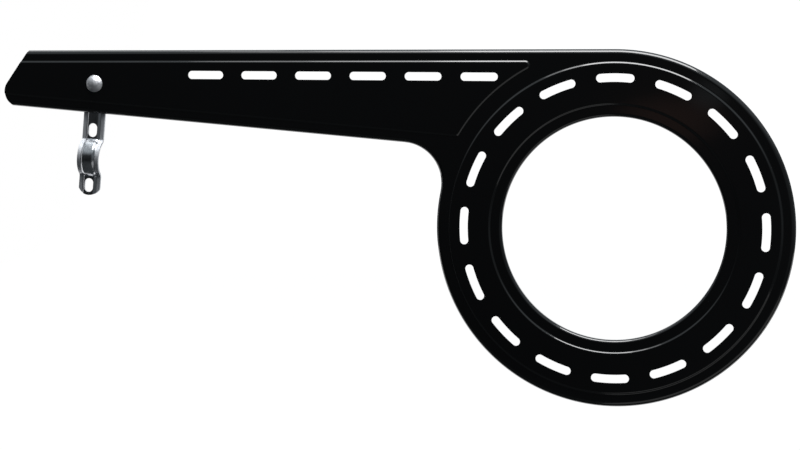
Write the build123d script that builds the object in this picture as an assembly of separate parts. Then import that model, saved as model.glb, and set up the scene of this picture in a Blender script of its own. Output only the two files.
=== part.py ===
"""Bicycle chain guard: a pressed steel plate, a swivelling stay bracket and the rivet that carries it.

Millimetres. The origin is on the crank axis, in the plane of the hole lip's rear edge. +X points to the
front of the bicycle, +Y towards the bicycle, +Z up. Outlines are drawn in X and Z, as seen from outside,
and depths are counted towards the bicycle from the front face of the plate's border.
"""

import os
from math import atan2, cos, degrees, pi, radians, sin, sqrt, tan

from build123d import *

# Pressed sheet
SHEET = 0.8
RIM_BEND = 3.0
RIM_DEPTH = 2.0

# Ring round the crank
RING_RADIUS = 107.1
RING_WIDTH = 40.35
LIP_BEND = 2.0
LIP_DEPTH = 3.6
LIP_WIDTH = 7.6
RING_BORDER = 8.1

# Raised steps of the pressing
STEP_HEIGHT = 0.6
STEP_SLOPE_DEG = 38.0
STEP_BEND = 1.2

# Arm over the upper run of the chain
TOP_SLOPE_DEG = 0.31
LOW_SLOPE_DEG = 4.5
ARM_HEIGHT = 67.5
JUNCTION_RADIUS = 24.7
ARM_TOP_BORDER = 7.4
ARM_LOW_BORDER = 7.2
PANEL_END_GAP = 1.9
PANEL_CORNER = 2.2

# Rear end of the arm
END_TOP_BEHIND = 371.4
END_LEAN_DEG = 55.4
NOSE_RADIUS = 9.5
LOW_EDGE_END_BEHIND = 382.5
NOSE_UNDERCUT_DEG = 46.5

# Slots of the ring and of the arm
SLOT_LENGTH = 22.7
SLOT_WIDTH = 5.0
SLOTS_BELOW_EDGE = 17.1
RING_SLOTS = 16
ARM_SLOTS = 6
ARM_SLOT_PITCH = 34.4
ARM_SLOT_FIRST_BEHIND = 81.7

# Rivet
RIVET_BEHIND = 326.8
RIVET_BELOW_CREST = 23.0
RIVET_HEAD_RADIUS = 5.3
RIVET_HEAD_HEIGHT = 2.6
RIVET_HEAD_EDGE = 0.4
RIVET_SHANK_RADIUS = 2.5
RIVET_TAIL_RADIUS = 3.9
RIVET_TAIL_HEIGHT = 1.6
RIVET_TAIL_ROUND = 0.8

# Stay bracket, bent from one strip
STRIP = 1.5
STRIP_WIDTH = 14.0
BRACKET_LEAN_DEG = 4.4
STAY_RADIUS = 11.0
BOW_RISE = 6.8
BOW_BELOW_RIVET = 46.8
BOLT_SLOT_SPACING = 34.9
BOLT_SLOT_LENGTH = 8.7
BOLT_SLOT_WIDTH = 5.6
EAR_BELOW_SLOT = 6.3
EAR_END_RADIUS = 8.0
SHOULDER_BEND = 1.8
CRANK_BELOW_RIVET = 5.6
CRANK_SLOPE_DEG = 48.0
CRANK_BEND = 1.0
BEAD_HEIGHT = 1.0
BEAD_TOP_WIDTH = 6.6
BEAD_SIDE_DEG = 45.0
BEAD_BEND = 0.6
BEAD_BELOW_CRANK = 1.5
BEAD_RUN_IN = 3.0
BEAD_FADE_HEIGHT = 0.05

# Room left between pieces that turn on each other
SWIVEL_GAP = 0.05
RIM_CLEARANCE = 0.3

# Sizes that follow from those above
HOLE_RADIUS = RING_RADIUS - RING_WIDTH
SLOT_CIRCLE_RADIUS = RING_RADIUS - SLOTS_BELOW_EDGE
ARM_SLOT_HEIGHT = RING_RADIUS - SLOTS_BELOW_EDGE
LOW_EDGE_OFFSET = RING_RADIUS - ARM_HEIGHT
PANEL_END_RADIUS = RING_RADIUS + PANEL_END_GAP
RIVET_HEIGHT = RING_RADIUS - RIVET_BELOW_CREST
STEP_RUN = STEP_HEIGHT / tan(radians(STEP_SLOPE_DEG))
PAD_FRONT = SHEET - STEP_HEIGHT + SWIVEL_GAP
PAD_BACK = PAD_FRONT + STRIP
STRAP_FRONT = RIM_DEPTH + RIM_CLEARANCE + BEAD_HEIGHT
STRAP_BACK = STRAP_FRONT + STRIP
STRIP_END = BOW_BELOW_RIVET + BOLT_SLOT_SPACING / 2 + EAR_BELOW_SLOT
CRANK_END = CRANK_BELOW_RIVET + (STRAP_FRONT - PAD_FRONT) / tan(radians(CRANK_SLOPE_DEG))
BEAD_START = CRANK_END + BEAD_BELOW_CRANK
STAY_BEHIND_STRAP = STAY_RADIUS - BOW_RISE
PANEL_PAST_END = LOW_EDGE_END_BEHIND + 4 * NOSE_RADIUS
PAST_END = PANEL_PAST_END + 4 * RIM_BEND
REACH = 4 * STAY_RADIUS

# Directions along and across the arm's two long edges, in the drawing plane
TOP_BACKWARD = Vector(-cos(radians(TOP_SLOPE_DEG)), -sin(radians(TOP_SLOPE_DEG)))
TOP_UP = Vector(-sin(radians(TOP_SLOPE_DEG)), cos(radians(TOP_SLOPE_DEG)))
LOW_BACKWARD = Vector(-cos(radians(LOW_SLOPE_DEG)), sin(radians(LOW_SLOPE_DEG)))
LOW_UP = Vector(sin(radians(LOW_SLOPE_DEG)), cos(radians(LOW_SLOPE_DEG)))

# Direction of the bracket, from the rivet to its lower end
STRAP_DOWN = Vector(-sin(radians(BRACKET_LEAN_DEG)), 0, -cos(radians(BRACKET_LEAN_DEG)))
STRAP_ACROSS = Vector(cos(radians(BRACKET_LEAN_DEG)), 0, -sin(radians(BRACKET_LEAN_DEG)))


def polar(radius, angle):
    """Point at a radius and an angle in radians round the crank axis."""
    return Vector(radius * cos(angle), radius * sin(angle))


def at_x(up, offset, x):
    """Point at x on the straight line that lies offset from the origin along the unit vector up."""
    return Vector(x, (offset - up.X * x) / up.Y)


def drawing_plane(depth):
    """Plane of the outlines at a depth, seen from outside."""
    return Plane((0, depth, 0), x_dir=(1, 0, 0), z_dir=(0, -1, 0))


def bracket_face_plane(depth):
    """Plane of the bracket's front view at a depth, with x down the strap from the rivet."""
    return Plane((-RIVET_BEHIND, depth, RIVET_HEIGHT), x_dir=STRAP_DOWN, z_dir=(0, -1, 0))


def bracket_side_plane(across):
    """Plane of the bracket's side view, with x down the strap and y as depth."""
    origin = Vector(-RIVET_BEHIND, 0, RIVET_HEIGHT) + STRAP_ACROSS * across
    return Plane(origin, x_dir=STRAP_DOWN, z_dir=STRAP_ACROSS)


def guard_outline(inset):
    """Outline of ring and arm, moved inwards by inset, with the arm running past its rear end."""
    ring = RING_RADIUS - inset
    low_offset = LOW_EDGE_OFFSET + inset
    fillet_radius = JUNCTION_RADIUS + inset
    across = LOW_EDGE_OFFSET - JUNCTION_RADIUS
    along = sqrt((RING_RADIUS + JUNCTION_RADIUS) ** 2 - across**2)
    centre = LOW_UP * across + LOW_BACKWARD * along
    to_ring = centre.normalized() * -1
    on_edge = centre + LOW_UP * fillet_radius
    on_arc = centre + (LOW_UP + to_ring).normalized() * fillet_radius
    on_ring = centre + to_ring * fillet_radius
    on_top = TOP_UP * ring
    start = atan2(on_ring.Y, on_ring.X)
    finish = atan2(on_top.Y, on_top.X) + 2 * pi
    top_rear = at_x(TOP_UP, ring, -PAST_END)
    low_rear = at_x(LOW_UP, low_offset, -PAST_END)
    edges = [
        Line(on_top, top_rear),
        Line(top_rear, low_rear),
        Line(low_rear, on_edge),
        ThreePointArc(on_edge, on_arc, on_ring),
        ThreePointArc(on_ring, polar(ring, (start + finish) / 2), on_top),
    ]
    return make_face(edges)


def panel_outline(inset):
    """Outline of the arm's raised panel at half height, moved inwards by inset."""
    radius = PANEL_END_RADIUS + inset
    top_offset = RING_RADIUS - ARM_TOP_BORDER - inset
    low_offset = LOW_EDGE_OFFSET + ARM_LOW_BORDER + inset
    top_front = TOP_UP * top_offset + TOP_BACKWARD * sqrt(radius**2 - top_offset**2)
    low_front = LOW_UP * low_offset + LOW_BACKWARD * sqrt(radius**2 - low_offset**2)
    top_rear = at_x(TOP_UP, top_offset, inset - PANEL_PAST_END)
    low_rear = at_x(LOW_UP, low_offset, inset - PANEL_PAST_END)
    middle = (atan2(top_front.Y, top_front.X) + atan2(low_front.Y, low_front.X)) / 2
    edges = [
        Line(top_rear, top_front),
        ThreePointArc(top_front, polar(radius, middle), low_front),
        Line(low_front, low_rear),
        Line(low_rear, top_rear),
    ]
    return fillet(make_face(edges).vertices(), PANEL_CORNER - inset)


def tray(inset, front, back, bend):
    """Block of the guard's outline with its front edge rounded all round."""
    solid = extrude(drawing_plane(back) * guard_outline(inset), back - front)
    return fillet(solid.edges().group_by(Axis.Y)[0], bend)


def with_panel(body, front, wall, foot_bend, top_bend):
    """Raises the arm's panel from a block's front face, with a soft foot and a soft top edge."""
    sunk = SHEET / 4
    slope = radians(STEP_SLOPE_DEG)
    inset = wall * tan(slope / 2) - STEP_RUN / 2 - sunk / tan(slope)
    base = drawing_plane(front + sunk) * panel_outline(inset)
    rise = extrude(base, STEP_HEIGHT + sunk, taper=90 - STEP_SLOPE_DEG)
    rise = fillet(rise.edges().group_by(Axis.Y)[0], top_bend)
    raised = body + rise
    return fillet(new_edges(body, rise, combined=raised), foot_bend)


def sheet_section(points, bends, thickness):
    """Section of a bent sheet from the corners and bends of its outer line, with the sheet on its left."""
    corners = [Vector(*point) for point in points]
    ways = [(after - before).normalized() for before, after in zip(corners, corners[1:])]
    lefts = [Vector(-way.Y, way.X) for way in ways]
    back = [corners[0] + lefts[0] * thickness]
    back_bends = []
    for corner, bend, before, after in zip(corners[1:], bends, lefts, lefts[1:]):
        half = (before + after).normalized()
        back.append(corner + half * (thickness / half.dot(before)))
        turns_left = before.cross(after).Z > 0
        back_bends.append(bend - thickness if turns_left else bend + thickness)
    back.append(corners[-1] + lefts[-1] * thickness)
    front_line = FilletPolyline(*corners, radius=bends)
    back_line = FilletPolyline(*back, radius=back_bends)
    ends = [Line(corners[0], back[0]), Line(corners[-1], back[-1])]
    return make_face([*front_line.edges(), *back_line.edges(), *ends])


def ring_pressing(join_radius):
    """Turned hole lip, raised slot band and inner part of the border, as one section spun round."""
    inner_step = HOLE_RADIUS + LIP_WIDTH
    outer_step = RING_RADIUS - RING_BORDER
    half_run = STEP_RUN / 2
    points = [
        (HOLE_RADIUS, LIP_DEPTH),
        (HOLE_RADIUS, 0),
        (inner_step - half_run, 0),
        (inner_step + half_run, -STEP_HEIGHT),
        (outer_step - half_run, -STEP_HEIGHT),
        (outer_step + half_run, 0),
        (join_radius, 0),
    ]
    section = sheet_section(points, [LIP_BEND] + [STEP_BEND] * 4, SHEET)
    return revolve(section, Axis.Y)


def rear_offcut():
    """Outline of all that lies behind the slanted end and its rounded nose."""
    end_way = Vector(cos(radians(END_LEAN_DEG)), sin(radians(END_LEAN_DEG)))
    under_way = Vector(-cos(radians(NOSE_UNDERCUT_DEG)), sin(radians(NOSE_UNDERCUT_DEG)))
    top = at_x(TOP_UP, RING_RADIUS, -END_TOP_BEHIND)
    low = at_x(LOW_UP, LOW_EDGE_OFFSET, -LOW_EDGE_END_BEHIND)
    nose = low + under_way * ((top - low).cross(end_way).Z / under_way.cross(end_way).Z)
    above = top + end_way * REACH
    below = low - under_way * REACH
    far_above = Vector(-PAST_END - REACH, above.Y)
    far_below = Vector(-PAST_END - REACH, below.Y)
    edges = [
        *FilletPolyline(above, nose, below, radius=[NOSE_RADIUS]).edges(),
        Line(below, far_below),
        Line(far_below, far_above),
        Line(far_above, above),
    ]
    return make_face(edges)


def ring_slots():
    """Curved slots spaced evenly round the ring, one of them at the top."""
    half_turn = degrees((SLOT_LENGTH - SLOT_WIDTH) / 2 / SLOT_CIRCLE_RADIUS)
    slots = []
    for index in range(RING_SLOTS):
        middle = 90 + index * 360 / RING_SLOTS
        line = CenterArc((0, 0), SLOT_CIRCLE_RADIUS, middle - half_turn, 2 * half_turn)
        slots.append(SlotArc(line.edge(), SLOT_WIDTH))
    return slots


def arm_slots():
    """Straight slots in a row along the arm."""
    slot = SlotOverall(SLOT_LENGTH, SLOT_WIDTH)
    places = [ARM_SLOT_FIRST_BEHIND + index * ARM_SLOT_PITCH for index in range(ARM_SLOTS)]
    return [Pos(-behind, ARM_SLOT_HEIGHT) * slot for behind in places]


def guard_plate():
    """The pressed sheet: turned rim, raised panel and slot band, turned hole lip, slots and rivet hole."""
    outer = tray(0, 0, 2 * RIM_BEND, RIM_BEND)
    inner = tray(SHEET, SHEET, REACH, RIM_BEND - SHEET)
    outer = with_panel(outer, 0, 0, STEP_BEND, STEP_BEND)
    inner = with_panel(inner, SHEET, SHEET, STEP_BEND + SHEET, STEP_BEND - SHEET)
    sheet = split(outer - inner, bisect_by=drawing_plane(RIM_DEPTH), keep=Keep.TOP)
    join_radius = RING_RADIUS - (RING_BORDER + RIM_BEND) / 2
    sheet -= extrude(drawing_plane(0) * Circle(join_radius), REACH, both=True)
    sheet += ring_pressing(join_radius)
    rivet_hole = Pos(-RIVET_BEHIND, RIVET_HEIGHT) * Circle(RIVET_SHANK_RADIUS)
    cuts = [rear_offcut(), rivet_hole, *ring_slots(), *arm_slots()]
    sheet -= [extrude(drawing_plane(0) * cut, REACH, both=True) for cut in cuts]
    return sheet


def strap_line(start):
    """Side line along the back of strap, bow and ear, from start down."""
    bend = SHOULDER_BEND + STRIP
    along = sqrt((STAY_RADIUS + bend) ** 2 - (STAY_BEHIND_STRAP + bend) ** 2)
    bow = Vector(BOW_BELOW_RIVET, STRAP_BACK + STAY_BEHIND_STRAP)
    flats, middles, meets = [], [], []
    for side in (-1, 1):
        centre = Vector(BOW_BELOW_RIVET + side * along, STRAP_BACK - bend)
        to_bow = (bow - centre).normalized()
        flats.append(centre + Vector(0, bend))
        middles.append(centre + (to_bow + Vector(0, 1)).normalized() * bend)
        meets.append(centre + to_bow * bend)
    return [
        Line((start, STRAP_BACK), flats[0]),
        ThreePointArc(flats[0], middles[0], meets[0]),
        ThreePointArc(meets[0], bow - Vector(0, STAY_RADIUS), meets[1]),
        ThreePointArc(meets[1], middles[1], flats[1]),
        Line(flats[1], (STRIP_END + STRIP_WIDTH, STRAP_BACK)),
    ]


def crank_line(level, end):
    """Side line of the riveted pad and the crank behind the rim, at a level in front of the back face."""
    raised = level - STRIP
    shift = raised * tan(radians(CRANK_SLOPE_DEG) / 2)
    corners = [
        (-STRIP_WIDTH, PAD_FRONT - raised),
        (CRANK_BELOW_RIVET + shift, PAD_FRONT - raised),
        (CRANK_END + shift, STRAP_FRONT - raised),
        (end, STRAP_FRONT - raised),
    ]
    return FilletPolyline(*corners, radius=[CRANK_BEND + level, CRANK_BEND + STRIP - level]).edges()


def closed_section(upper, lower):
    """Section between two side lines that start and end beside each other."""
    starts = Line(upper[0] @ 0, lower[0] @ 0)
    ends = Line(upper[-1] @ 1, lower[-1] @ 1)
    return make_face([*upper, *lower, starts, ends])


def bead_section(along, height):
    """Section across the strap at a distance down from the rivet, with the bead standing at a height."""
    half_top = BEAD_TOP_WIDTH / 2
    half_foot = half_top + BEAD_HEIGHT / tan(radians(BEAD_SIDE_DEG))
    points = [
        (STRIP_WIDTH, STRIP),
        (half_foot, STRIP),
        (half_top, STRIP + height),
        (-half_top, STRIP + height),
        (-half_foot, STRIP),
        (-STRIP_WIDTH, STRIP),
    ]
    bends = [BEAD_BEND, BEAD_BEND + STRIP, BEAD_BEND + STRIP, BEAD_BEND]
    origin = bracket_side_plane(0).from_local_coords((along, STRAP_BACK, 0))
    plane = Plane(origin, x_dir=STRAP_ACROSS, z_dir=STRAP_DOWN)
    return plane * sheet_section(points, bends, STRIP)


def bracket_outline():
    """Front view of the bracket: round about the rivet, straight sides, a round ear."""
    half = STRIP_WIDTH / 2
    side_end = STRIP_END - EAR_END_RADIUS + sqrt(EAR_END_RADIUS**2 - half**2)
    edges = [
        ThreePointArc((0, half), (-half, 0), (0, -half)),
        Line((0, -half), (side_end, -half)),
        ThreePointArc((side_end, -half), (STRIP_END, 0), (side_end, half)),
        Line((side_end, half), (0, half)),
    ]
    return make_face(edges)


def stay_bracket():
    """The clamp half: a strip cranked behind the rim, bowed round the stay, beaded and slotted."""
    pad = closed_section(crank_line(STRIP, BEAD_START), crank_line(0, BEAD_START))
    strip = extrude(bracket_side_plane(0) * pad, STRIP_WIDTH, both=True)
    full = BEAD_START + BEAD_RUN_IN
    strip += loft([bead_section(BEAD_START, BEAD_FADE_HEIGHT), bead_section(full, BEAD_HEIGHT)], ruled=True)
    side_line = bracket_side_plane(0) * Curve(strap_line(full))
    strip += sweep(bead_section(full, BEAD_HEIGHT), path=side_line)
    strip &= extrude(bracket_face_plane(0) * bracket_outline(), REACH, both=True)
    slot = SlotOverall(BOLT_SLOT_LENGTH, BOLT_SLOT_WIDTH)
    cuts = [Circle(RIVET_SHANK_RADIUS + SWIVEL_GAP)]
    cuts += [Pos(BOW_BELOW_RIVET + side * BOLT_SLOT_SPACING / 2, 0) * slot for side in (-1, 1)]
    strip -= [extrude(bracket_face_plane(0) * cut, REACH, both=True) for cut in cuts]
    return strip


def rivet():
    """Dome-headed rivet with its closed tail behind the bracket."""
    seat = -STEP_HEIGHT
    crown = seat - RIVET_HEAD_HEIGHT
    edge = seat - RIVET_HEAD_EDGE
    rise = RIVET_HEAD_HEIGHT - RIVET_HEAD_EDGE
    dome_radius = (RIVET_HEAD_RADIUS**2 + rise**2) / (2 * rise)
    tail = PAD_BACK + SWIVEL_GAP
    tail_end = tail + RIVET_TAIL_HEIGHT
    half_angle = atan2(RIVET_HEAD_RADIUS, dome_radius - rise) / 2
    on_dome = (dome_radius * sin(half_angle), crown + dome_radius * (1 - cos(half_angle)))
    edges = [
        ThreePointArc((0, crown), on_dome, (RIVET_HEAD_RADIUS, edge)),
        Line((RIVET_HEAD_RADIUS, edge), (RIVET_HEAD_RADIUS, seat)),
        Line((RIVET_HEAD_RADIUS, seat), (RIVET_SHANK_RADIUS, seat)),
        Line((RIVET_SHANK_RADIUS, seat), (RIVET_SHANK_RADIUS, tail)),
        Line((RIVET_SHANK_RADIUS, tail), (RIVET_TAIL_RADIUS, tail)),
        Line((RIVET_TAIL_RADIUS, tail), (RIVET_TAIL_RADIUS, tail_end)),
        Line((RIVET_TAIL_RADIUS, tail_end), (0, tail_end)),
        Line((0, tail_end), (0, crown)),
    ]
    turned = revolve(make_face(edges), Axis.Y)
    turned = fillet(turned.edges().group_by(Axis.Y)[-1], RIVET_TAIL_ROUND)
    return Pos(-RIVET_BEHIND, 0, RIVET_HEIGHT) * turned


if __name__ == "__main__":
    os.makedirs("parts", exist_ok=True)
    pieces = {"guard_plate": guard_plate(), "stay_bracket": stay_bracket(), "rivet": rivet()}
    for name, solid in pieces.items():
        export_step(Pos(0, -LIP_DEPTH, 0) * solid, f"parts/{name}.step")
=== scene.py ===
"""Looks of a bicycle chain guard: a pressed black plate, a plated stay bracket and the rivet that carries it.

Metres, in the frame of the CAD model: +X to the front of the bicycle, +Y towards the bicycle, +Z up. The
painted face looks towards -Y, where the camera stands.
"""

import logging
from collections.abc import Callable
from dataclasses import dataclass, field
from enum import Enum
from functools import partial
from math import asin, atan2, cos, hypot, pi, radians, sin, sqrt, tan
from typing import Any

import bmesh
import bpy
from bmesh.types import BMEdge, BMesh, BMVert
from bpy.types import Material, Node, NodeSocket, NodeTree, Object
from mathutils import Matrix, Vector


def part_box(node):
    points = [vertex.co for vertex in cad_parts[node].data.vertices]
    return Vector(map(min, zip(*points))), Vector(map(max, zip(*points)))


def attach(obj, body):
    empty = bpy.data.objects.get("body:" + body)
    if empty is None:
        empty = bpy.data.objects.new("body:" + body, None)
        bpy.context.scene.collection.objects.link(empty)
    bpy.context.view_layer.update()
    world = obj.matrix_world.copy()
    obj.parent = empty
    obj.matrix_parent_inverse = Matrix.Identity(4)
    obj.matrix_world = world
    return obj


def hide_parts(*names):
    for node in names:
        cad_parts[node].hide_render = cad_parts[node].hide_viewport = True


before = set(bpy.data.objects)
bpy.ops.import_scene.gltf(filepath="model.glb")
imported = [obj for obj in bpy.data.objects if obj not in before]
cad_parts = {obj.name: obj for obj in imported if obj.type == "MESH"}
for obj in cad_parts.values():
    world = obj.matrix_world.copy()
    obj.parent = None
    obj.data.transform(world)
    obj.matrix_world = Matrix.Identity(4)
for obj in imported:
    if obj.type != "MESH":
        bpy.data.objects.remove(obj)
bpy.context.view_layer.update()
LOG = logging.getLogger("chain_guard")

Point = tuple[float, float, float]
Colour = tuple[float, float, float]
Station = tuple[Vector, Vector]
Profile = list[tuple[float, float]]
MM = 0.001
TOUCHING = MM / 1000
NOISE_MIDDLE = (0.3, 0.7)
DRIFT_DETAIL = 3.0


class Body(Enum):
    """Bodies of the model that a piece can ride on."""

    GUARD = "guard"
    BRACKET = "bracket"


class Slot(Enum):
    """Finishes named in the record."""

    ENAMEL = "gloss_black"
    ZINC = "zinc_plate"
    RIVET = "rivet_metal"


class Ray(Enum):
    """Kinds of ray that see the plain white of the studio."""

    CAMERA = "Is Camera Ray"
    GLOSSY = "Is Glossy Ray"
    CLEAR = "Is Transmission Ray"


class NodeSheet:
    """Adds and joins the nodes of one shader tree."""

    def __init__(self, tree: NodeTree) -> None:
        """Starts from an empty tree.

        Args:
            tree: the node tree of a material, a world or a group.
        """
        self.tree = tree
        self.tree.nodes.clear()

    def feed(self, target: NodeSocket, value: Any) -> None:
        """Joins an input to another node's output, or gives it a plain value.

        Args:
            target: the input.
            value: an output or a plain value.
        """
        if isinstance(value, NodeSocket):
            self.tree.links.new(value, target)
        else:
            target.default_value = value

    def add(self, kind: str, inputs: dict[str, Any] | None = None, **settings: Any) -> Node:
        """Adds a node.

        Args:
            kind: Blender's name of the node type, without its leading ShaderNode.
            inputs: plain values or outputs for the node's inputs.
            settings: values of the node's other properties.

        Returns:
            The new node.
        """
        node = self.tree.nodes.new(kind if kind.startswith("Node") else "ShaderNode" + kind)
        for name, value in settings.items():
            setattr(node, name, value)
        for name, value in (inputs or {}).items():
            self.feed(node.inputs[name], value)
        return node

    def fill(self, node: Node, *values: Any) -> Node:
        """Feeds the inputs of a node in their order.

        Args:
            node: the node.
            values: plain values or outputs.

        Returns:
            The same node.
        """
        for target, value in zip(node.inputs, values):
            self.feed(target, value)
        return node

    def maths(self, operation: str, first: Any, second: Any = 0.0) -> NodeSocket:
        """Result of a maths node on one or two values or outputs."""
        return self.fill(self.add("Math", operation=operation), first, second).outputs[0]

    def vector(self, operation: str, *values: Any) -> NodeSocket:
        """Result of a vector maths node on its values or outputs."""
        node = self.fill(self.add("VectorMath", operation=operation), *values)
        return node.outputs["Value" if operation == "DOT_PRODUCT" else "Vector"]

    def both(self, first: NodeSocket, second: NodeSocket) -> NodeSocket:
        """Sum of two shaders."""
        return self.fill(self.add("AddShader"), first, second).outputs[0]

    def choose(self, share: NodeSocket, first: NodeSocket, second: NodeSocket) -> NodeSocket:
        """Mix of two shaders, by the share of the second."""
        return self.fill(self.add("MixShader"), share, first, second).outputs[0]

    def span(self, value: NodeSocket, low: float, high: float, to_low: Any, to_high: Any) -> NodeSocket:
        """Maps a value from one range to another, held at its ends.

        Args:
            value: the value.
            low: start of the range it comes from.
            high: end of the range it comes from.
            to_low: result at low, as a plain value or an output.
            to_high: result at high, as a plain value or an output.

        Returns:
            The mapped value.
        """
        ends = {"From Min": low, "From Max": high, "To Min": to_low, "To Max": to_high}
        return self.add("MapRange", {"Value": value} | ends).outputs["Result"]


class EffectGroups:
    """Shader groups that more than one finish uses, each built once."""

    def __init__(self) -> None:
        """Builds both groups."""
        self.grain = self._grain()
        self.drift = self._drift()

    @staticmethod
    def _start(
        name: str, inputs: dict[str, tuple[str, Any]], outputs: list[str]
    ) -> tuple[NodeTree, NodeSheet, Node, Node]:
        """Makes an empty group with its sockets.

        Args:
            name: name of the group.
            inputs: socket names with their types and first values.
            outputs: names of the values it puts out.

        Returns:
            The group, its sheet of nodes, and its input and output nodes.
        """
        tree = bpy.data.node_groups.new(name, "ShaderNodeTree")
        for socket_name, (kind, value) in inputs.items():
            socket = tree.interface.new_socket(socket_name, in_out="INPUT", socket_type=kind)
            socket.default_value = value
        for socket_name in outputs:
            tree.interface.new_socket(socket_name, in_out="OUTPUT", socket_type="NodeSocketFloat")
        sheet = NodeSheet(tree)
        return tree, sheet, sheet.add("NodeGroupInput"), sheet.add("NodeGroupOutput")

    def _grain(self) -> NodeTree:
        """Fine grain that can be drawn out in one direction.

        Returns:
            The group, with a mask from 0 to 1 and a height about 0.
        """
        sockets = {
            "Vector": ("NodeSocketVector", (0.0, 0.0, 0.0)),
            "Turn": ("NodeSocketVector", (0.0, 0.0, 0.0)),
            "Fineness": ("NodeSocketVector", (1.0, 1.0, 1.0)),
            "Detail": ("NodeSocketFloat", 2.0),
        }
        tree, sheet, start, end = self._start("fine_grain", sockets, ["Mask", "Height"])
        given = start.outputs
        turned = sheet.add("Mapping", {"Vector": given["Vector"], "Rotation": given["Turn"]})
        drawn = sheet.vector("MULTIPLY", turned.outputs["Vector"], given["Fineness"])
        noise = sheet.add("TexNoise", {"Vector": drawn, "Scale": 1.0, "Detail": given["Detail"]}).outputs["Fac"]
        sheet.feed(end.inputs["Mask"], sheet.span(noise, *NOISE_MIDDLE, 0.0, 1.0))
        sheet.feed(end.inputs["Height"], sheet.maths("SUBTRACT", noise, 0.5))
        return tree

    def _drift(self) -> NodeTree:
        """Slow cloudy change of a finish over a piece.

        Returns:
            The group, with one value between Low and High.
        """
        sockets = {
            "Vector": ("NodeSocketVector", (0.0, 0.0, 0.0)),
            "Scale": ("NodeSocketFloat", 20.0),
            "Low": ("NodeSocketFloat", 0.0),
            "High": ("NodeSocketFloat", 1.0),
        }
        tree, sheet, start, end = self._start("slow_drift", sockets, ["Value"])
        given = start.outputs
        place = {"Vector": given["Vector"], "Scale": given["Scale"], "Detail": DRIFT_DETAIL}
        noise = sheet.add("TexNoise", place).outputs["Fac"]
        sheet.feed(end.inputs["Value"], sheet.span(noise, *NOISE_MIDDLE, given["Low"], given["High"]))
        return tree

    def drifting(
        self, sheet: NodeSheet, place: NodeSocket, scale: float, ends: tuple[float, float]
    ) -> NodeSocket:
        """Lays the slow drift over a material.

        Args:
            sheet: nodes of the material.
            place: place on the piece.
            scale: fineness of the drift.
            ends: lowest and highest value.

        Returns:
            A value that wanders between the ends.
        """
        inputs = {"Vector": place, "Scale": scale, "Low": ends[0], "High": ends[1]}
        return sheet.add("Group", inputs, node_tree=self.drift).outputs["Value"]


def new_material(name: str) -> tuple[Material, NodeSheet]:
    """Makes a material with an empty sheet of nodes.

    Args:
        name: name of the material.

    Returns:
        The material and its sheet.
    """
    material = bpy.data.materials.new(name)
    material.use_nodes = True
    return material, NodeSheet(material.node_tree)


@dataclass(frozen=True)
class GlossEnamel:
    """Deep gloss black enamel, with the faint unevenness of sprayed and baked paint."""

    groups: EffectGroups
    colour: Colour = (0.0028, 0.0029, 0.0032)
    roughness: tuple[float, float] = (0.10, 0.16)
    drift_scale: float = 14.0
    ior: float = 1.5
    coat_roughness: float = 0.035
    peel_fineness: Point = (260.0, 260.0, 260.0)
    peel_height: float = 1.2e-6

    def material(self) -> Material:
        """Builds the material.

        Returns:
            The enamel.
        """
        material, sheet = new_material("gloss_black_enamel")
        place = sheet.add("TexCoord").outputs["Object"]
        peel = sheet.add("Group", {"Vector": place, "Fineness": self.peel_fineness}, node_tree=self.groups.grain)
        height = {"Height": peel.outputs["Height"], "Strength": 1.0, "Distance": self.peel_height}
        shader = sheet.add("BsdfPrincipled", {
            "Base Color": (*self.colour, 1.0),
            "Roughness": self.groups.drifting(sheet, place, self.drift_scale, self.roughness),
            "IOR": self.ior,
            "Coat Weight": 1.0,
            "Coat Roughness": self.coat_roughness,
            "Coat IOR": self.ior,
            "Normal": sheet.add("Bump", height).outputs["Normal"],
        })
        sheet.add("OutputMaterial", {"Surface": shader.outputs["BSDF"]})
        return material


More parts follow.
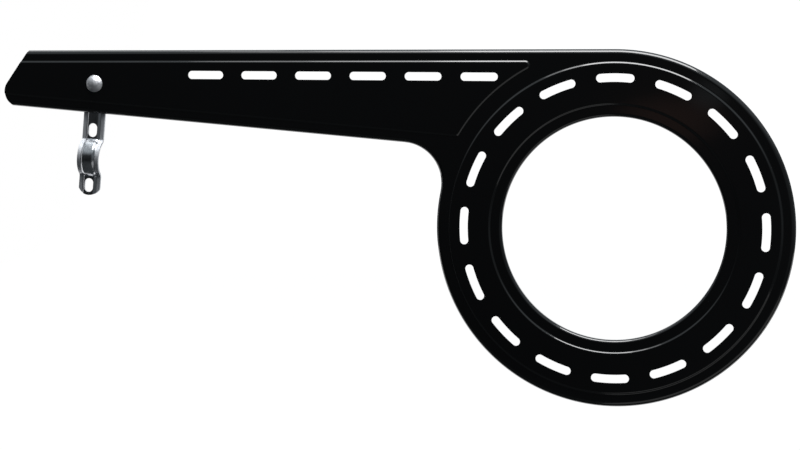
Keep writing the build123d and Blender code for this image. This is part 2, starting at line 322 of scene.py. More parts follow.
@dataclass(frozen=True)
class DrawnZinc:
    """Bright zinc plating over drawn steel strip, duller on its flanges than on its bead."""

    groups: EffectGroups
    rivet: Point
    colour: Colour = (0.84, 0.85, 0.88)
    dark_colour: Colour = (0.56, 0.57, 0.60)
    roughness: tuple[float, float] = (0.15, 0.22)
    drift_scale: float = 180.0
    flange_dulling: float = 0.34
    dulling_run: float = 0.6 * MM
    line_fineness: Point = (1500.0, 1500.0, 60.0)
    line_detail: float = 3.0
    line_height: float = 0.9e-5
    lean_deg: float = 4.4
    bead_half_width: float = 4.3 * MM

    def _beside_bead(self, sheet: NodeSheet, place: NodeSocket) -> NodeSocket:
        """Distance from the foot of the bead out over either flange.

        Args:
            sheet: nodes of the material.
            place: place on the piece.

        Returns:
            The distance in metres, 0 on the bead.
        """
        lean = radians(self.lean_deg)
        from_rivet = sheet.vector("SUBTRACT", place, self.rivet)
        across = sheet.vector("DOT_PRODUCT", from_rivet, (cos(lean), 0.0, -sin(lean)))
        beside = sheet.maths("SUBTRACT", sheet.maths("ABSOLUTE", across), self.bead_half_width)
        return sheet.maths("MAXIMUM", beside, 0.0)

    def material(self) -> Material:
        """Builds the material.

        Returns:
            The zinc plating.
        """
        material, sheet = new_material("drawn_zinc_plate")
        place = sheet.add("TexCoord").outputs["Object"]
        lines = sheet.add("Group", {
            "Vector": place,
            "Turn": (0.0, radians(-self.lean_deg), 0.0),
            "Fineness": self.line_fineness,
            "Detail": self.line_detail,
        }, node_tree=self.groups.grain)
        tint = sheet.add("Mix", {
            "Factor": lines.outputs["Mask"],
            "A": (*self.dark_colour, 1.0),
            "B": (*self.colour, 1.0),
        }, data_type="RGBA")
        drawn = sheet.maths("MULTIPLY", lines.outputs["Height"], self.line_height)
        bump = sheet.add("Bump", {"Height": drawn, "Strength": 1.0, "Distance": 1.0})
        drift = self.groups.drifting(sheet, place, self.drift_scale, self.roughness)
        beside = self._beside_bead(sheet, place)
        dulling = sheet.span(beside, 0.0, self.dulling_run, 0.0, self.flange_dulling)
        shader = sheet.add("BsdfPrincipled", {
            "Base Color": tint.outputs["Result"],
            "Metallic": 1.0,
            "Roughness": sheet.maths("ADD", drift, dulling),
            "Normal": bump.outputs["Normal"],
        })
        sheet.add("OutputMaterial", {"Surface": shader.outputs["BSDF"]})
        return material


@dataclass(frozen=True)
class SatinAlloy:
    """Satin metal of the rivet, dulled a little by the closing tool."""

    groups: EffectGroups
    colour: Colour = (0.84, 0.84, 0.87)
    roughness: tuple[float, float] = (0.40, 0.58)
    drift_scale: float = 600.0
    grain_fineness: Point = (1100.0, 1100.0, 1100.0)
    grain_height: float = 2.0e-4

    def material(self) -> Material:
        """Builds the material.

        Returns:
            The satin metal.
        """
        material, sheet = new_material("satin_rivet_metal")
        place = sheet.add("TexCoord").outputs["Object"]
        grain = sheet.add("Group", {"Vector": place, "Fineness": self.grain_fineness}, node_tree=self.groups.grain)
        height = {"Height": grain.outputs["Height"], "Strength": 1.0, "Distance": self.grain_height}
        shader = sheet.add("BsdfPrincipled", {
            "Base Color": (*self.colour, 1.0),
            "Metallic": 1.0,
            "Roughness": self.groups.drifting(sheet, place, self.drift_scale, self.roughness),
            "Normal": sheet.add("Bump", height).outputs["Normal"],
        })
        sheet.add("OutputMaterial", {"Surface": shader.outputs["BSDF"]})
        return material


def new_object(name: str, data: bpy.types.ID) -> Object:
    """Puts a mesh, a light or a camera into the scene, at the origin.

    Args:
        name: name of the object.
        data: what it shows.

    Returns:
        The new object.
    """
    made = bpy.data.objects.new(name, data)
    bpy.context.scene.collection.objects.link(made)
    return made


def mesh_object(name: str, mesh: BMesh) -> Object:
    """Turns a bmesh into an object at the origin.

    Args:
        name: name of the object.
        mesh: the bmesh, which is freed.

    Returns:
        The new object.
    """
    data = bpy.data.meshes.new(name)
    mesh.to_mesh(data)
    mesh.free()
    return new_object(name, data)


def chain(mesh: BMesh, points: list[BMVert]) -> list[BMEdge]:
    """Joins points by edges, one after the other."""
    return [mesh.edges.new(pair) for pair in zip(points, points[1:])]


def evenly(start: float, end: float, count: int) -> list[float]:
    """Values from start to end in even steps, with both ends."""
    return [start + (end - start) * step / count for step in range(count + 1)]


def shade(mesh: BMesh, crisp_deg: float) -> None:
    """Shades a closed mesh smoothly, but for its crisp edges.

    Args:
        mesh: the mesh.
        crisp_deg: angle between faces from which their edge stays crisp.
    """
    for face in mesh.faces:
        face.smooth = True
    for edge in mesh.edges:
        edge.smooth = edge.is_manifold and edge.calc_face_angle() < radians(crisp_deg)


@dataclass
class Piece:
    """One real piece of the guard, which stands for a solid of the model."""

    node: str
    name: str
    body: Body
    slot: Slot

    def dress(self, piece: Object, material: Material) -> None:
        """Gives the piece its finish and ties it to the model.

        Args:
            piece: the built piece.
            material: its finish.
        """
        piece.data.materials.clear()
        piece.data.materials.append(material)
        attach(piece, self.body.value)
        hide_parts(self.node)
        LOG.info("%s: %d faces on %s", piece.name, len(piece.data.polygons), self.body.value)


@dataclass
class SheetMetalPiece(Piece):
    """A piece bent or pressed from sheet, with smooth bends and softened cut edges."""

    weld: float = 2e-6
    crisp_deg: float = 30.0
    cut_edge_deg: float = 65.0
    cut_edge_round: float = 0.12 * MM
    cut_edge_steps: int = 2

    def build(self) -> Object:
        """Merges a copy of the solid's mesh and finishes it.

        Returns:
            The piece, in place.
        """
        mesh = bmesh.new()
        mesh.from_mesh(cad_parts[self.node].data)
        bmesh.ops.remove_doubles(mesh, verts=mesh.verts, dist=self.weld)
        bmesh.ops.dissolve_degenerate(mesh, dist=self.weld, edges=mesh.edges)
        return self.finish(mesh)

    def finish(self, mesh: BMesh) -> Object:
        """Shades the bends smoothly and softens the cut edges.

        Args:
            mesh: closed mesh of the piece, which is freed.

        Returns:
            The piece, in place.
        """
        shade(mesh, self.crisp_deg)
        piece = mesh_object(self.name, mesh)
        softening = piece.modifiers.new("soft_cut_edges", "BEVEL")
        softening.limit_method = "ANGLE"
        softening.angle_limit = radians(self.cut_edge_deg)
        softening.width = self.cut_edge_round
        softening.segments = self.cut_edge_steps
        weighting = piece.modifiers.new("even_normals", "WEIGHTED_NORMAL")
        weighting.keep_sharp = True
        return piece


@dataclass
class PressedPlate(SheetMetalPiece):
    """Ring and arm of the guard, pressed from one sheet: its front is drawn and folded, then given its thickness.

    Outlines are drawn in X and Z round the crank axis. Depths run back from the front of the border.
    """

    sheet: float = 0.8 * MM
    rim_bend: float = 3.0 * MM
    rim_depth: float = 2.0 * MM
    ring_radius: float = 107.1 * MM
    hole_radius: float = 66.75 * MM
    lip_bend: float = 2.0 * MM
    lip_depth: float = 3.6 * MM
    lip_width: float = 7.6 * MM
    ring_border: float = 8.1 * MM
    step_height: float = 0.6 * MM
    step_slope_deg: float = 38.0
    step_bend: float = 1.2 * MM
    top_slope_deg: float = 0.31
    low_slope_deg: float = 4.5
    arm_height: float = 67.5 * MM
    junction_radius: float = 24.7 * MM
    arm_top_border: float = 7.4 * MM
    arm_low_border: float = 7.2 * MM
    panel_end_gap: float = 1.9 * MM
    panel_corner: float = 2.2 * MM
    end_top_behind: float = 371.4 * MM
    end_lean_deg: float = 55.4
    nose_radius: float = 9.6 * MM
    low_edge_end_behind: float = 382.5 * MM
    nose_undercut_deg: float = 46.5
    past_end: float = 432.5 * MM
    slot_length: float = 22.7 * MM
    slot_width: float = 5.0 * MM
    slots_below_edge: float = 17.1 * MM
    ring_slots: int = 16
    arm_slots: int = 6
    arm_slot_pitch: float = 34.4 * MM
    arm_slot_first: float = 81.7 * MM
    rivet_behind: float = 326.8 * MM
    rivet_height: float = 84.1 * MM
    rivet_hole: float = 2.5 * MM
    hole_corners: int = 28
    slot_cuts: int = 9
    flat_margin: float = 0.5 * MM
    step_bend_steps: int = 8
    rim_bend_steps: int = 16
    turn_deg: float = 1.5
    corner_turn_deg: float = 6.0
    nose_cuts: int = 20
    top_up: Vector = field(init=False)
    top_back: Vector = field(init=False)
    low_up: Vector = field(init=False)
    low_back: Vector = field(init=False)
    low_offset: float = field(init=False)
    step_reach: float = field(init=False)

    def __post_init__(self) -> None:
        """Works out the directions of the arm's long edges and the run of a step."""
        top, low = radians(self.top_slope_deg), radians(self.low_slope_deg)
        self.top_up, self.top_back = Vector((-sin(top), cos(top))), Vector((-cos(top), -sin(top)))
        self.low_up, self.low_back = Vector((sin(low), cos(low))), Vector((-cos(low), sin(low)))
        self.low_offset = self.ring_radius - self.arm_height
        slope = radians(self.step_slope_deg)
        self.step_reach = self.step_height / tan(slope) / 2 + self.step_bend * tan(slope / 2)

    def place(self, point: Vector, depth: float) -> Vector:
        """Puts a point of the drawing at a depth in the model's frame."""
        return Vector((point.x, depth - self.lip_depth, point.y))

    def on_line(self, up: Vector, offset: float, behind: float) -> Vector:
        """Point of a long edge at a distance behind the crank axis."""
        return Vector((-behind, (offset + up.x * behind) / up.y))

    def arc(self, centre: Vector, radius: float, start: float, end: float, outside: bool) -> list[Station]:
        """Stations along an arc of an outline.

        Args:
            centre: its middle.
            radius: its radius.
            start: angle of its first point.
            end: angle of its last point.
            outside: whether the sheet lies outside the arc.

        Returns:
            Points, each with its direction into the sheet.
        """
        turn_deg = self.turn_deg if radius > self.hole_radius else self.corner_turn_deg
        count = max(2, round(abs(end - start) / radians(turn_deg)))
        ways = [Vector((cos(angle), sin(angle))) for angle in evenly(start, end, count)]
        return [(centre + way * radius, way if outside else -way) for way in ways]

    def outline(self) -> list[Station]:
        """Outer edge from the rear of the arm's top over the ring to the rear of its low edge.

        Returns:
            Points, each with its direction into the sheet.
        """
        across = self.low_offset - self.junction_radius
        along = sqrt((self.ring_radius + self.junction_radius) ** 2 - across**2)
        centre = self.low_up * across + self.low_back * along
        to_ring = -centre.normalized()
        meets = centre + to_ring * self.junction_radius
        ring = self.arc(Vector((0, 0)), self.ring_radius, atan2(self.top_up.y, self.top_up.x),
                        atan2(meets.y, meets.x) - (2 * pi if meets.y > 0 else 0), False)
        start, end = atan2(to_ring.y, to_ring.x), atan2(self.low_up.y, self.low_up.x)
        junction = self.arc(centre, self.junction_radius, start, end, True)
        rear = (self.on_line(self.top_up, self.ring_radius, self.past_end), -self.top_up)
        low_rear = (self.on_line(self.low_up, self.low_offset, self.past_end), self.low_up)
        return [rear, *ring, *junction[1:], low_rear]

    def panel_line(self) -> list[Station]:
        """Outline of the arm's raised panel at half its height, from the rear of its top to the rear of its foot.

        Returns:
            Points, each with its direction into the panel.
        """
        radius, corner = self.ring_radius + self.panel_end_gap, self.panel_corner
        top = self.ring_radius - self.arm_top_border
        low = self.low_offset + self.arm_low_border
        reach = radius + corner
        upper = self.top_up * (top - corner) + self.top_back * sqrt(reach**2 - (top - corner) ** 2)
        lower = self.low_up * (low + corner) + self.low_back * sqrt(reach**2 - (low + corner) ** 2)
        ways = (self.top_up, -upper, upper, lower, -lower, -self.low_up)
        turns = [atan2(way.y, way.x) for way in ways]
        return [
            (self.on_line(self.top_up, top, self.past_end), -self.top_up),
            *self.arc(upper, corner, turns[0], turns[1], False),
            *self.arc(Vector((0, 0)), radius, turns[2], turns[3], True)[1:-1],
            *self.arc(lower, corner, turns[4], turns[5], False),
            (self.on_line(self.low_up, low, self.past_end), self.low_up),
        ]

    def step_profile(self) -> Profile:
        """Profile of a raised step with its soft foot and top.

        Returns:
            Distance inwards and depth of each point.
        """
        bend, reach, height = self.step_bend, self.step_reach, self.step_height
        turns = evenly(0.0, radians(self.step_slope_deg), self.step_bend_steps)
        foot = [(bend * sin(turn) - reach, bend * (cos(turn) - 1)) for turn in turns]
        top = [(reach - bend * sin(turn), bend * (1 - cos(turn)) - height) for turn in reversed(turns)]
        margin = reach + self.flat_margin
        return [(-margin, 0.0), *foot, *top, (margin, -height)]

    def rim_profile(self) -> Profile:
        """Profile of the turned rim from the border to its rear edge.

        Returns:
            Distance inwards and depth of each point.
        """
        bend = self.rim_bend
        turns = evenly(pi / 2, asin(1 - self.rim_depth / bend), self.rim_bend_steps)
        rim = [(bend * (1 - cos(turn)), bend * (1 - sin(turn))) for turn in turns]
        return [(bend + self.flat_margin, 0.0), *rim]

    def lip_profile(self) -> Profile:
        """Profile from the slot band down its inner step and back round the hole's lip.

        Returns:
            Radius and depth of each point.
        """
        foot = self.hole_radius + self.lip_width
        step = [(foot + inwards, depth) for inwards, depth in reversed(self.step_profile())]
        bend = self.lip_bend
        turns = evenly(0.0, pi / 2, self.rim_bend_steps)
        lip = [(self.hole_radius + bend * (1 - sin(turn)), bend * (1 - cos(turn))) for turn in turns]
        return [*step[:-1], (lip[0][0] + self.flat_margin, 0.0), *lip, (self.hole_radius, self.lip_depth)]

    def sweep(self, mesh: BMesh, line: list[Station], profile: Profile) -> tuple[list[BMEdge], list[BMEdge]]:
        """Draws a profile along an open outline.

        Args:
            mesh: mesh to draw in.
            line: stations of the outline.
            profile: distance inwards and depth of each point of the profile.

        Returns:
            The edges of the first and of the last line, each in order along the outline.
        """
        station = mesh.verts.layers.int["station"]
        inwards, depth = profile[0]
        points = [mesh.verts.new(self.place(spot + way * inwards, depth)) for spot, way in line]
        for index, point in enumerate(points):
            point[station] = index
        first = last = chain(mesh, points)
        for inwards, depth in profile[1:]:
            drawn = bmesh.ops.extrude_edge_only(mesh, edges=last)["geom"]
            for point in drawn:
                if isinstance(point, BMVert):
                    spot, way = line[point[station]]
                    point.co = self.place(spot + way * inwards, depth)
            last = [item for item in drawn if isinstance(item, BMEdge) and item.is_boundary]
            last = [edge for edge in last if abs(edge.verts[0][station] - edge.verts[1][station]) == 1]
            last.sort(key=lambda edge: min(point[station] for point in edge.verts))
        return first, last

    def spin(self, mesh: BMesh, profile: Profile) -> tuple[list[BMEdge], list[BMEdge]]:
        """Spins a profile round the crank axis.

        Args:
            mesh: mesh to draw in.
            profile: radius and depth of each point.

        Returns:
            The edges of the first and of the last circle.
        """
        points = [mesh.verts.new(self.place(Vector((radius, 0)), depth)) for radius, depth in profile]
        bmesh.ops.spin(mesh, geom=points + chain(mesh, points), cent=(0, 0, 0), axis=(0, 1, 0), angle=2 * pi,
                       steps=round(360 / self.turn_deg), use_merge=True)
        circles = []
        for radius, depth in (profile[0], profile[-1]):
            level = depth - self.lip_depth
            on_circle = {
                point for point in mesh.verts
                if abs(hypot(point.co.x, point.co.z) - radius) < TOUCHING and abs(point.co.y - level) < TOUCHING
            }
            circles.append([edge for edge in mesh.edges if on_circle.issuperset(edge.verts)])
        return circles[0], circles[1]

    def draw_hole(self, mesh: BMesh, radius: float, reach: float, lay: Callable[[Vector], Vector]) -> None:
        """Draws a round hole, or a slot as a circle pulled out to its length, and lays it on the raised face.

        Args:
            mesh: mesh that holds nothing but holes yet.
            radius: radius of the hole or of the slot's ends.
            reach: distance from the slot's middle to the middle of either end.
            lay: gives the drawing's point for a point along and across the hole.
        """
        turn = Matrix.Rotation(pi / self.hole_corners, 4, "Z")
        points = bmesh.ops.create_circle(mesh, segments=self.hole_corners, radius=radius, matrix=turn)["verts"]
        for side in (reach, -reach):
            half = [point for point in points if point.co.x * side > 0]
            bmesh.ops.translate(mesh, verts=half, vec=(side, 0.0, 0.0))
        edges = {edge for point in points for edge in point.link_edges}
        sides = [edge for edge in edges if edge.calc_length() > radius]
        bmesh.ops.subdivide_edges(mesh, edges=sides, cuts=self.slot_cuts)
        for point in mesh.verts:
            if hypot(point.co.x, point.co.z) < self.slot_length:
                point.co = self.place(lay(point.co.xy), -self.step_height)

    def on_ring(self, middle: float, spot: Vector) -> Vector:
        """Bends a point of a slot whose middle lies at an angle round the crank axis.

        Args:
            middle: the angle.
            spot: the point, along and across the slot.

        Returns:
            The point of the drawing.
        """
        circle = self.ring_radius - self.slots_below_edge
        angle = middle - spot.x / circle
        return Vector((cos(angle), sin(angle))) * (circle + spot.y)

    def on_arm(self, behind: float, height: float, spot: Vector) -> Vector:
        """Moves a point of a hole to its place on the arm."""
        return Vector((spot.x - behind, spot.y + height))

    def draw_holes(self, mesh: BMesh) -> tuple[list[BMEdge], list[BMEdge]]:
        """Draws the rivet's hole and the slots.

        Args:
            mesh: empty mesh to draw in.

        Returns:
            The edges of the holes in the arm's panel and in the ring's band.
        """
        end, reach = self.slot_width / 2, (self.slot_length - self.slot_width) / 2
        height = self.ring_radius - self.slots_below_edge
        self.draw_hole(mesh, self.rivet_hole, 0.0, partial(self.on_arm, self.rivet_behind, self.rivet_height))
        for index in range(self.arm_slots):
            behind = self.arm_slot_first + index * self.arm_slot_pitch
            self.draw_hole(mesh, end, reach, partial(self.on_arm, behind, height))
        for index in range(self.ring_slots):
            middle = pi / 2 + 2 * pi * index / self.ring_slots
            self.draw_hole(mesh, end, reach, partial(self.on_ring, middle))
        panel, band = [], []
        for edge in mesh.edges:
            spot = edge.verts[0].co
            (band if hypot(spot.x, spot.z) < self.ring_radius else panel).append(edge)
        return panel, band

    def cut_rear(self, mesh: BMesh) -> None:
        """Cuts the arm off along its slanted end, round nose and undercut.

        Args:
            mesh: mesh of the whole front, with an arm that runs on past its end.
        """
        radius = self.nose_radius
        end, under = radians(self.end_lean_deg), radians(self.nose_undercut_deg)
        above, below = Vector((-sin(end), cos(end))), Vector((-sin(under), -cos(under)))
        reach = above.dot(self.on_line(self.top_up, self.ring_radius, self.end_top_behind)) - radius
        low_reach = below.dot(self.on_line(self.low_up, self.low_offset, self.low_edge_end_behind)) - radius
        share = above.x * below.y - above.y * below.x
        centre = Vector((reach * below.y - low_reach * above.y, low_reach * above.x - reach * below.x)) / share
        first, last = atan2(above.y, above.x), atan2(below.y, below.x) + 2 * pi
        for angle in evenly(first, last, self.nose_cuts):
            way = Vector((cos(angle), sin(angle)))
            spot = self.place(centre + way * radius, 0.0)
            everything = mesh.verts[:] + mesh.edges[:] + mesh.faces[:]
            bmesh.ops.bisect_plane(mesh, geom=everything, dist=TOUCHING / 10, plane_co=spot,
                                   plane_no=(way.x, 0.0, way.y), clear_outer=True)

    def draw_front(self, mesh: BMesh) -> None:
        """Draws the sheet's front face with its rim, steps, lip, slots and holes.

        Args:
            mesh: empty mesh to draw in.
        """
        mesh.verts.layers.int.new("station")
        panel_cuts, band_cuts = self.draw_holes(mesh)
        rim, _ = self.sweep(mesh, self.outline(), self.rim_profile())
        foot, crest = self.sweep(mesh, self.panel_line(), self.step_profile())
        band_radius = self.ring_radius - self.ring_border
        step = [(band_radius - inwards, depth) for inwards, depth in self.step_profile()]
        band_foot, band_edge = self.spin(mesh, step)
        lip_edge, _ = self.spin(mesh, self.lip_profile())
        rears = [[line[0].verts, line[-1].verts] for line in (rim, foot, crest)]
        ends = [[min(pair, key=lambda point: point.co.x) for pair in pairs] for pairs in rears]
        closing = [mesh.edges.new((ends[0][side], ends[1][side])) for side in (0, 1)]
        across = [mesh.edges.new(ends[2])]
        border = rim + foot + closing + band_foot
        panel = crest + across + panel_cuts
        band = band_edge + lip_edge + band_cuts
        for edges in (border, panel, band):
            bmesh.ops.triangle_fill(mesh, edges=edges, normal=(0.0, -1.0, 0.0), use_beauty=True)

    def build(self) -> Object:
        """Draws the front, cuts the rear end, gives the sheet its thickness and trims the rim level.

        Returns:
            The plate, in place.
        """
        mesh = bmesh.new()
        self.draw_front(mesh)
        self.cut_rear(mesh)
        bmesh.ops.remove_doubles(mesh, verts=mesh.verts, dist=TOUCHING)
        bmesh.ops.recalc_face_normals(mesh, faces=mesh.faces)
        if max(mesh.faces, key=lambda face: face.calc_area()).normal.y > 0:
            bmesh.ops.reverse_faces(mesh, faces=mesh.faces)
        bmesh.ops.solidify(mesh, geom=mesh.faces[:], thickness=self.sheet)
        rim_edge = self.rim_depth - self.lip_depth
        for point in mesh.verts:
            if point.co.y > rim_edge and hypot(point.co.x, point.co.z) > self.hole_radius + self.lip_width:
                point.co.y = rim_edge
        return self.finish(mesh)


@dataclass
class DomeRivet(Piece):
    """Dome-headed rivet, spun from its half section."""

    head_radius: float = 5.3 * MM
    head_edge: float = 0.4 * MM
    head_height: float = 2.6 * MM
    shank_radius: float = 2.5 * MM
    tail_radius: float = 3.9 * MM
    tail_height: float = 1.6 * MM
    tail_round: float = 0.8 * MM
    dome_steps: int = 14
    round_steps: int = 6
    spin_steps: int = 64
    crisp_deg: float = 40.0

    def section(self, crown: float, end: float) -> Profile:
        """Half section of the rivet.

        Args:
            crown: depth of the top of the dome.
            end: depth of the end of the tail.

        Returns:
            Radius and depth of each point from the dome's top to the middle of the tail.
        """
        rise = self.head_height - self.head_edge
        dome = (self.head_radius**2 + rise**2) / (2 * rise)
        angles = evenly(0.0, asin(self.head_radius / dome), self.dome_steps)
        points = [(dome * sin(angle), crown + dome * (1 - cos(angle))) for angle in angles]
        seat, tail = crown + self.head_height, end - self.tail_height
        points += [(self.head_radius, seat), (self.shank_radius, seat)]
        points += [(self.shank_radius, tail), (self.tail_radius, tail)]
        bend = self.tail_round
        middle, depth = self.tail_radius - bend, end - bend
        turns = evenly(0.0, pi / 2, self.round_steps)
        points += [(middle + bend * cos(turn), depth + bend * sin(turn)) for turn in turns]
        return [*points, (0.0, end)]

    def build(self) -> Object:
        """Spins the half section about the rivet's axis.

        Returns:
            The rivet, in place.
        """
        low, high = (Vector(corner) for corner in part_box(self.node))
        middle = (low + high) / 2
        section = self.section(low.y, high.y)
        mesh = bmesh.new()
        points = [mesh.verts.new((middle.x + radius, depth, middle.z)) for radius, depth in section]
        bmesh.ops.spin(mesh, geom=points + chain(mesh, points), cent=middle, axis=(0.0, 1.0, 0.0), angle=2 * pi,
                       steps=self.spin_steps, use_merge=True)
        bmesh.ops.remove_doubles(mesh, verts=mesh.verts, dist=TOUCHING)
        bmesh.ops.recalc_face_normals(mesh, faces=mesh.faces)
        shade(mesh, self.crisp_deg)
        return mesh_object(self.name, mesh)


@dataclass(frozen=True)
class Glint:
    """A faint soft patch of the room that gloss mirrors: where it lies, its half width, level and colour."""

    way: Point
    half_deg: float
    squash: float
    level: float
    colour: Colour


@dataclass(frozen=True)
class Softbox:
    """A rectangular light that the camera can't see: its middle, width and depth, power in watts and direction."""

    name: str
    place: Point
    size: tuple[float, float]
    power: float
    way: Point = (0.0, 0.0, -1.0)

    def hang(self) -> None:
        """Puts the light into the scene."""
        data = bpy.data.lights.new(self.name, "AREA")
        data.shape = "RECTANGLE"
        data.size, data.size_y = self.size
        data.energy = self.power
        light = new_object(self.name, data)
        light.location = self.place
        light.rotation_euler = Vector(self.way).to_track_quat("-Z", "Y").to_euler()
        light.visible_camera = False


@dataclass
class Studio:
    """Pale floor and backdrop, softboxes, a dim room and the camera.

    A wing has a width and a share of the softbox's level. A room level holds at an angle off the dark card. A
    high level is reached between two heights of a direction.
    """

    floor_height: float = -0.45
    floor_front: float = 0.10
    backdrop_back: float = 6.0
    half_width: float = 2.4
    wall_height: float = 3.2
    sweep_radius: float = 1.5
    sweep_steps: int = 16
    lit_colour: Colour = (0.62, 0.60, 0.57)
    shadow_colour: Colour = (0.15, 0.15, 0.15)
    floor_glow: float = 0.95
    backdrop_glow: float = 1.0
    softbox: Softbox = Softbox("overhead_softbox", (0.07, -0.50, 0.95), (0.70, 0.70), 12.25)
    wings: tuple[tuple[float, float], ...] = ((0.14, 0.45), (0.14, 0.18))
    cards: tuple[Softbox, ...] = (
        Softbox("top_card", (-0.75, 0.10, 0.95), (0.60, 0.40), 0.75),
        Softbox("side_card", (-1.30, 0.10, 0.05), (0.35, 1.2), 0.85, (0.97, -0.10, 0.0)),
        Softbox("low_board", (0.40, -0.55, -0.42), (0.90, 0.70), 0.55, (0.0, 0.0, 1.0)),
    )
    card_turn_deg: float = -35.0
    card_squash: float = 3.0
    room_levels: tuple[tuple[float, float], ...] = (
        (180.0, 0.30), (0.0, 0.016), (35.0, 0.016), (60.0, 0.10), (100.0, 0.11),
    )
    room_tint: Colour = (0.86, 0.95, 1.0)
    low_room_share: float = 0.4
    low_room_height: float = -0.25
    high_levels: tuple[tuple[float, float, float], ...] = ((0.2, 0.55, 0.40), (0.80, 0.97, 0.95))
    glints: tuple[Glint, ...] = (
        Glint((-0.0578, -1.0688, -0.0031), 2.0, 2.2, 0.13, (1.0, 0.50, 0.36)),
        Glint((-0.0348, -1.0688, 0.0120), 0.75, 1.3, 0.14, (0.86, 0.95, 1.0)),
    )
    glint_core: float = 0.25
    camera_place: Point = (0.08977, -1.0688, 0.0683)
    camera_aim: Point = (-0.12936, -0.0042, -0.00055)
    camera_roll_deg: float = 0.594
    lens_mm: float = 80.27
    sensor_mm: float = 36.0

    @staticmethod
    def _seen(sheet: NodeSheet, rays: tuple[Ray, ...]) -> NodeSocket:
        """Tells the rays that see plain white from those that only meet pale light.

        Args:
            sheet: nodes of a material or the world.
            rays: rays that see white.

        Returns:
            1 for such a ray, else 0.
        """
        path = sheet.add("LightPath")
        seen = path.outputs[rays[0].value]
        for ray in rays[1:]:
            seen = sheet.maths("MAXIMUM", seen, path.outputs[ray.value])
        return seen

    def _stage_material(self, name: str, glow: float) -> Material:
        """Makes a pale surface that the camera, metal and glass see as white, and that still takes a shadow.

        Args:
            name: name of the material.
            glow: share of its white that no shadow can take away.

        Returns:
            The material.
        """
        material, sheet = new_material(name)
        lit = sheet.add("BsdfDiffuse", {"Color": (*self.lit_colour, 1.0)})
        faint = sheet.add("BsdfDiffuse", {"Color": (*self.shadow_colour, 1.0)})
        white = sheet.add("Emission", {"Color": (1.0, 1.0, 1.0, 1.0), "Strength": glow})
        shown = sheet.both(white.outputs[0], faint.outputs[0])
        seen = self._seen(sheet, (Ray.CAMERA, Ray.GLOSSY, Ray.CLEAR))
        sheet.add("OutputMaterial", {"Surface": sheet.choose(seen, lit.outputs[0], shown)})
        return material

    def _stretch(self, name: str, line: Profile) -> Object:
        """Draws a line seen from the side out to the stage's full width.

        Args:
            name: name of the object.
            line: depth and height of the line's points.

        Returns:
            The surface.
        """
        mesh = bmesh.new()
        points = [mesh.verts.new((-self.half_width, y, z)) for y, z in line]
        wide = bmesh.ops.extrude_edge_only(mesh, edges=chain(mesh, points))
        moved = [item for item in wide["geom"] if isinstance(item, BMVert)]
        bmesh.ops.translate(mesh, verts=moved, vec=(2 * self.half_width, 0.0, 0.0))
        for face in mesh.faces:
            face.smooth = True
        surface = mesh_object(name, mesh)
        return surface

    def build_stage(self) -> None:
        """Lays the floor and stands the backdrop behind it, with a round sweep between them."""
        low, radius = self.floor_height, self.sweep_radius
        foot = self.backdrop_back - radius
        turns = evenly(0.0, pi / 2, self.sweep_steps)
        sweep = [(foot + radius * sin(turn), low + radius * (1 - cos(turn))) for turn in turns]
        floor = self._stretch("floor", [(self.floor_front, low), (foot, low)])
        backdrop = self._stretch("backdrop", [*sweep, (self.backdrop_back, low + self.wall_height)])
        floor.data.materials.append(self._stage_material("pale_floor", self.floor_glow))
        backdrop.data.materials.append(self._stage_material("white_backdrop", self.backdrop_glow))

    @staticmethod
    def _nearness(sheet: NodeSheet, way: NodeSocket, target: Point, squash: float) -> NodeSocket:
        """Tells how near a direction of the room comes to another.

        Args:
            sheet: nodes of the world.
            way: the direction.
            target: the direction it is compared with.
            squash: how much sooner it leaves the target upwards than sideways.

        Returns:
            The cosine between them.
        """
        scale = Vector((1.0, 1.0, squash))
        even = sheet.vector("NORMALIZE", sheet.vector("MULTIPLY", way, scale))
        return sheet.vector("DOT_PRODUCT", even, (Vector(target) * scale).normalized())

    def _room_level(self, sheet: NodeSheet, way: NodeSocket) -> NodeSocket:
        """Level of the room's grey walls, dark card and ceiling.

        Args:
            sheet: nodes of the world.
            way: direction in the room.

        Returns:
            The level in that direction.
        """
        turn = radians(self.card_turn_deg)
        to_card = self._nearness(sheet, way, (sin(turn), -cos(turn), 0.0), self.card_squash)
        ramp = sheet.add("ValToRGB", {"Fac": sheet.span(to_card, -1.0, 1.0, 0.0, 1.0)})
        stops = ramp.color_ramp.elements
        given = len(stops)
        for index, (off_card_deg, level) in enumerate(self.room_levels):
            place = (cos(radians(off_card_deg)) + 1) / 2
            stop = stops[index] if index < given else stops.new(place)
            stop.position = place
            stop.color = (level, level, level, 1.0)
        height = sheet.add("SeparateXYZ", {"Vector": way}).outputs["Z"]
        dimming = sheet.span(height, self.low_room_height, 0.0, self.low_room_share, 1.0)
        room = sheet.maths("MULTIPLY", ramp.outputs["Color"], dimming)
        for start, full, share in self.high_levels:
            room = sheet.maths("MAXIMUM", room, sheet.span(height, start, full, 0.0, share))
        return room

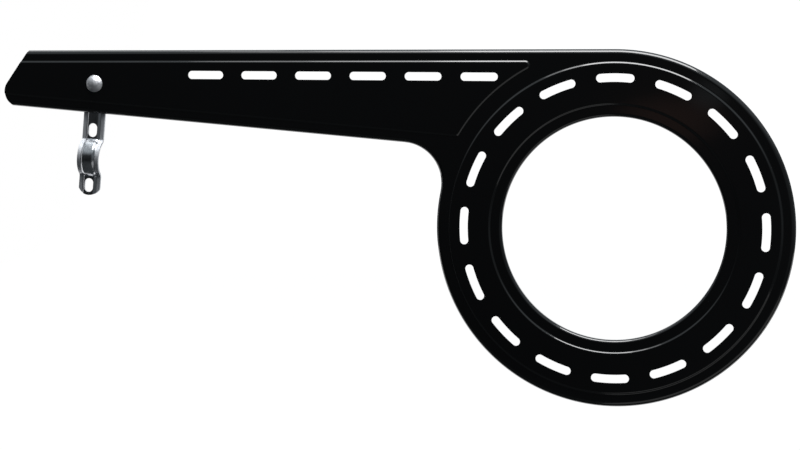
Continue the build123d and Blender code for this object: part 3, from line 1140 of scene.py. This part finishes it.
    def build_world(self) -> None:
        """Sets a dim room with its glints, white only where the camera looks past everything."""
        world = bpy.data.worlds.new("studio_room")
        bpy.context.scene.world = world
        world.use_nodes = True
        sheet = NodeSheet(world.node_tree)
        way = sheet.add("TexCoord").outputs["Generated"]
        room = {"Color": (*self.room_tint, 1.0), "Strength": self._room_level(sheet, way)}
        lit = sheet.add("Background", room).outputs[0]
        for glint in self.glints:
            near = self._nearness(sheet, way, glint.way, glint.squash)
            edge, full = cos(radians(glint.half_deg)), cos(radians(glint.half_deg * self.glint_core))
            glow = {"Color": (*glint.colour, 1.0), "Strength": sheet.span(near, edge, full, 0.0, glint.level)}
            lit = sheet.both(lit, sheet.add("Background", glow).outputs[0])
        white = sheet.add("Background", {"Color": (1.0, 1.0, 1.0, 1.0), "Strength": 1.0})
        seen = self._seen(sheet, (Ray.CAMERA, Ray.CLEAR))
        sheet.add("OutputWorld", {"Surface": sheet.choose(seen, lit, white.outputs[0])})

    def build_lights(self) -> None:
        """Hangs the softbox over the object's front, weaker wings towards the arm's end, and the cards."""
        box = self.softbox
        box.hang()
        x, y, z = box.place
        width, depth = box.size
        edge = x - width / 2
        for number, (wing_width, share) in enumerate(self.wings, start=1):
            middle = (edge - wing_width / 2, y, z)
            power = box.power * share * wing_width / width
            Softbox(f"softbox_wing_{number}", middle, (wing_width, depth), power).hang()
            edge -= wing_width
        for card in self.cards:
            card.hang()

    def build_camera(self) -> None:
        """Stands the camera where the photograph was taken from."""
        data = bpy.data.cameras.new("camera")
        data.lens = self.lens_mm
        data.sensor_width = self.sensor_mm
        data.sensor_fit = "HORIZONTAL"
        camera = new_object("camera", data)
        place, aim = Vector(self.camera_place), Vector(self.camera_aim)
        level = (aim - place).to_track_quat("-Z", "Y").to_matrix().to_4x4()
        roll = Matrix.Rotation(radians(self.camera_roll_deg), 4, "Z")
        camera.matrix_world = Matrix.Translation(place) @ level @ roll
        bpy.context.scene.camera = camera

    def build(self) -> None:
        """Builds stage, light and camera."""
        self.build_stage()
        self.build_world()
        self.build_lights()
        self.build_camera()
        bpy.context.scene.view_settings.view_transform = "Standard"
        LOG.info("studio ready")


def main() -> None:
    """Builds and dresses every piece, then the studio."""
    logging.basicConfig(level=logging.INFO, format="%(name)s: %(message)s")
    groups = EffectGroups()
    plate = PressedPlate("guard_plate", "guard_plate_sheet", Body.GUARD, Slot.ENAMEL)
    bracket = SheetMetalPiece("stay_bracket", "stay_bracket_strip", Body.BRACKET, Slot.ZINC)
    rivet = DomeRivet("rivet", "rivet_dome", Body.GUARD, Slot.RIVET)
    low, high = (Vector(corner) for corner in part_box(rivet.node))
    plate.dress(plate.build(), GlossEnamel(groups).material())
    bracket.dress(bracket.build(), DrawnZinc(groups, tuple((low + high) / 2)).material())
    rivet.dress(rivet.build(), SatinAlloy(groups).material())
    Studio().build()


if __name__ == "__main__":
    main()
